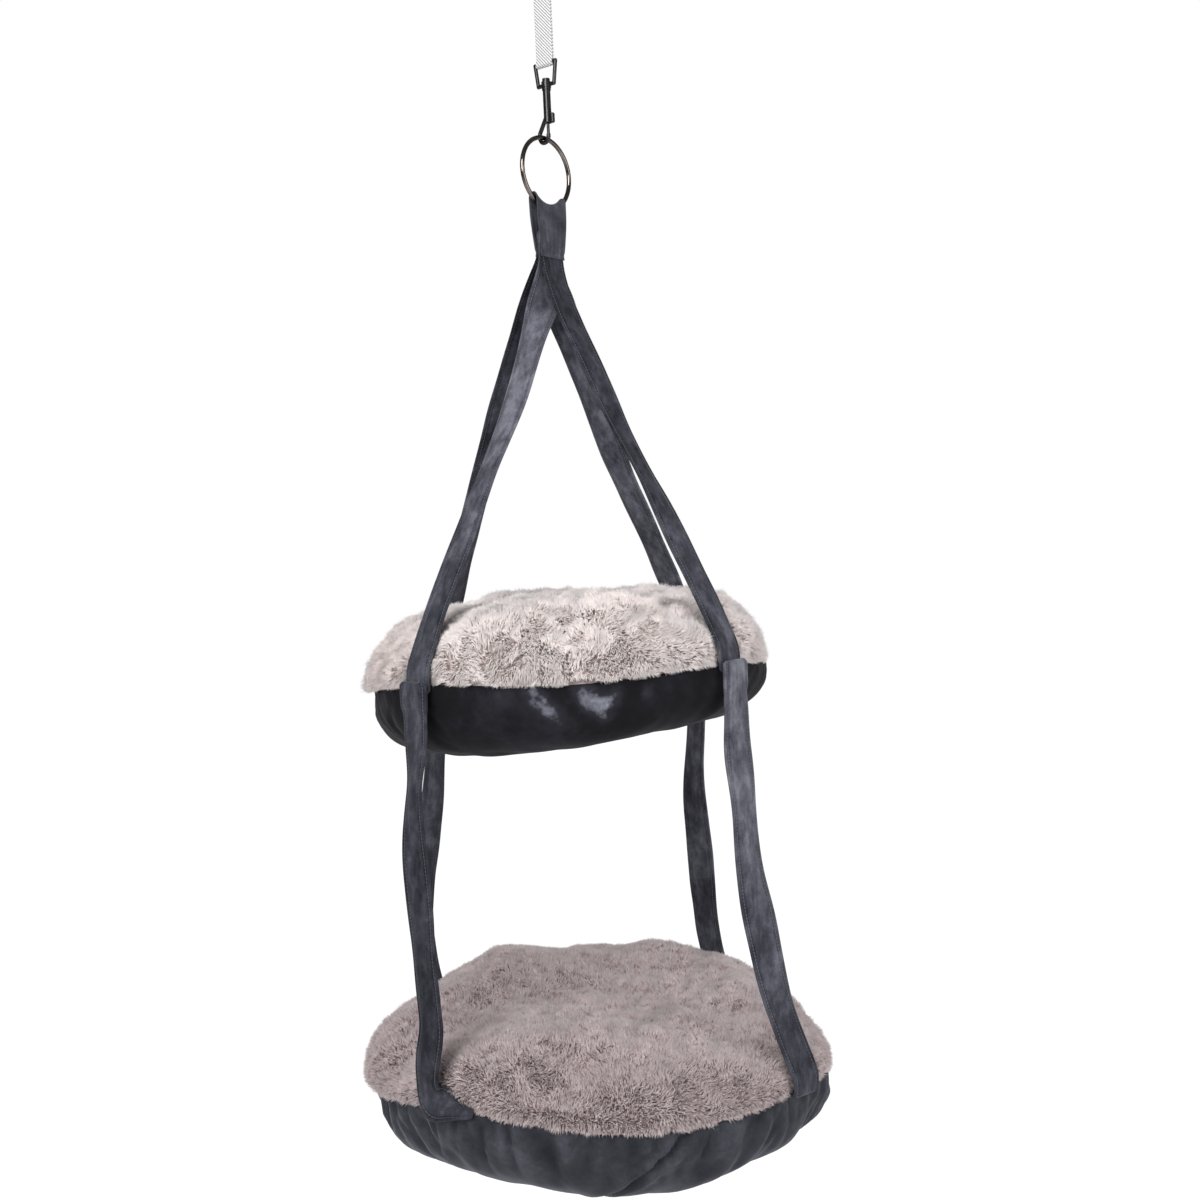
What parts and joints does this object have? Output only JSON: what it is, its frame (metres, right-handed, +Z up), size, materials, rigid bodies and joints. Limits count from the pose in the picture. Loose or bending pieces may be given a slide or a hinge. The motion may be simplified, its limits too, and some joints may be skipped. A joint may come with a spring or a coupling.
{
  "type": "cat hammock",
  "caption": "Hanging pet hammock with stacked round plush beds on velvet straps under a metal ring, hung by a swivel bolt snap from a webbing loop.",
  "frame": {"origin": "centre of the hanging webbing loop", "axes": "+Z up along the hung length, +X to the right and +Y away from the pictured side"},
  "size_m": [0.4918, 0.4918, 1.2507],
  "materials": {
    "webbing": "light grey twill-woven webbing",
    "snap_metal": "black coated die-cast zinc",
    "spring_steel": "bright spring wire",
    "ring_metal": "polished gunmetal plating",
    "velvet_strap": "dark slate-grey velvet",
    "velvet_base": "charcoal velvet",
    "fibre_filling": "white polyester fibre",
    "upper_plush": "light beige-grey long-pile plush",
    "lower_plush": "taupe long-pile plush"
  },
  "bodies": {
    "strap": {"hanging_strap": "webbing"},
    "eye": {"snap_eye": "snap_metal"},
    "hook": {"snap_hook": "snap_metal", "snap_spring": "spring_steel"},
    "bolt": {"snap_bolt": "snap_metal"},
    "ring": {"hanging_ring": "ring_metal"},
    "sling": {"ring_collar": "velvet_strap", "upper_strap_front_left": "velvet_strap", "upper_strap_front_right": "velvet_strap", "upper_strap_back_right": "velvet_strap", "upper_strap_back_left": "velvet_strap", "upper_base": "velvet_base", "upper_filling": "fibre_filling", "upper_plush": "upper_plush"},
    "lower_strap_fl": {"lower_strap_front_left": "velvet_strap"},
    "lower_strap_fr": {"lower_strap_front_right": "velvet_strap"},
    "lower_strap_br": {"lower_strap_back_right": "velvet_strap"},
    "lower_strap_bl": {"lower_strap_back_left": "velvet_strap"},
    "lower_bed": {"lower_base": "velvet_base", "lower_filling": "fibre_filling", "lower_plush": "lower_plush"}
  },
  "joints": [
    {"name": "eye_swing", "type": "hinge", "parent": "strap", "child": "eye", "pos_m": [0, 0, -0.121], "axis": [0.8192, -0.5736, 0], "range_deg": [-60, 60]},
    {"name": "snap_swivel", "type": "hinge", "parent": "eye", "child": "hook", "pos_m": [0, 0, -0.14], "axis": [0, 0, 1], "continuous": true},
    {"name": "bolt_draw", "type": "slide", "parent": "hook", "child": "bolt", "axis": [0, 0, 1], "range_m": [0, 0.007], "stiffness_N_per_m": 300, "springref_m": -0.004, "deforming": ["snap_spring"]},
    {"name": "ring_swing", "type": "hinge", "parent": "hook", "child": "ring", "pos_m": [-0.00444, 0.00373, -0.19535], "axis": [0.6428, 0.766, 0], "range_deg": [-45, 45]},
    {"name": "sling_swing", "type": "hinge", "parent": "ring", "child": "sling", "pos_m": [-0.00444, 0.00373, -0.26655], "axis": [0.6428, 0.766, 0], "range_deg": [-12, 12]},
    {"name": "lower_sway", "type": "hinge", "parent": "sling", "child": "lower_strap_fl", "pos_m": [-0.1449, -0.14959, -0.74096], "axis": [0, 1, 0], "range_deg": [-8, 8]},
    {"name": "lower_sway_front_right", "type": "hinge", "parent": "sling", "child": "lower_strap_fr", "pos_m": [0.15459, -0.1339, -0.73476], "axis": [0, 1, 0], "range_deg": [-8, 8]},
    {"name": "lower_sway_back_right", "type": "hinge", "parent": "sling", "child": "lower_strap_br", "pos_m": [0.1389, 0.16559, -0.7341], "axis": [0, 1, 0], "range_deg": [-8, 8]},
    {"name": "lower_sway_back_left", "type": "hinge", "parent": "sling", "child": "lower_strap_bl", "pos_m": [-0.16059, 0.1499, -0.74238], "axis": [0, 1, 0], "range_deg": [-8.2, 8.2]},
    {"name": "lower_level", "type": "hinge", "parent": "lower_strap_fl", "child": "lower_bed", "pos_m": [-0.12497, -0.18761, -1.12539], "axis": [0.1186, -0.9929, 0], "range_deg": [-7.6, 7.6]}
  ],
  "couplings": [
    {"joint": "lower_sway_front_right", "follows": "lower_sway", "ratio": 0.94064},
    {"joint": "lower_sway_back_right", "follows": "lower_sway", "ratio": 0.96249},
    {"joint": "lower_sway_back_left", "follows": "lower_sway", "ratio": 0.98705},
    {"joint": "lower_level", "follows": "lower_sway", "ratio": 0.8951}
  ]
}
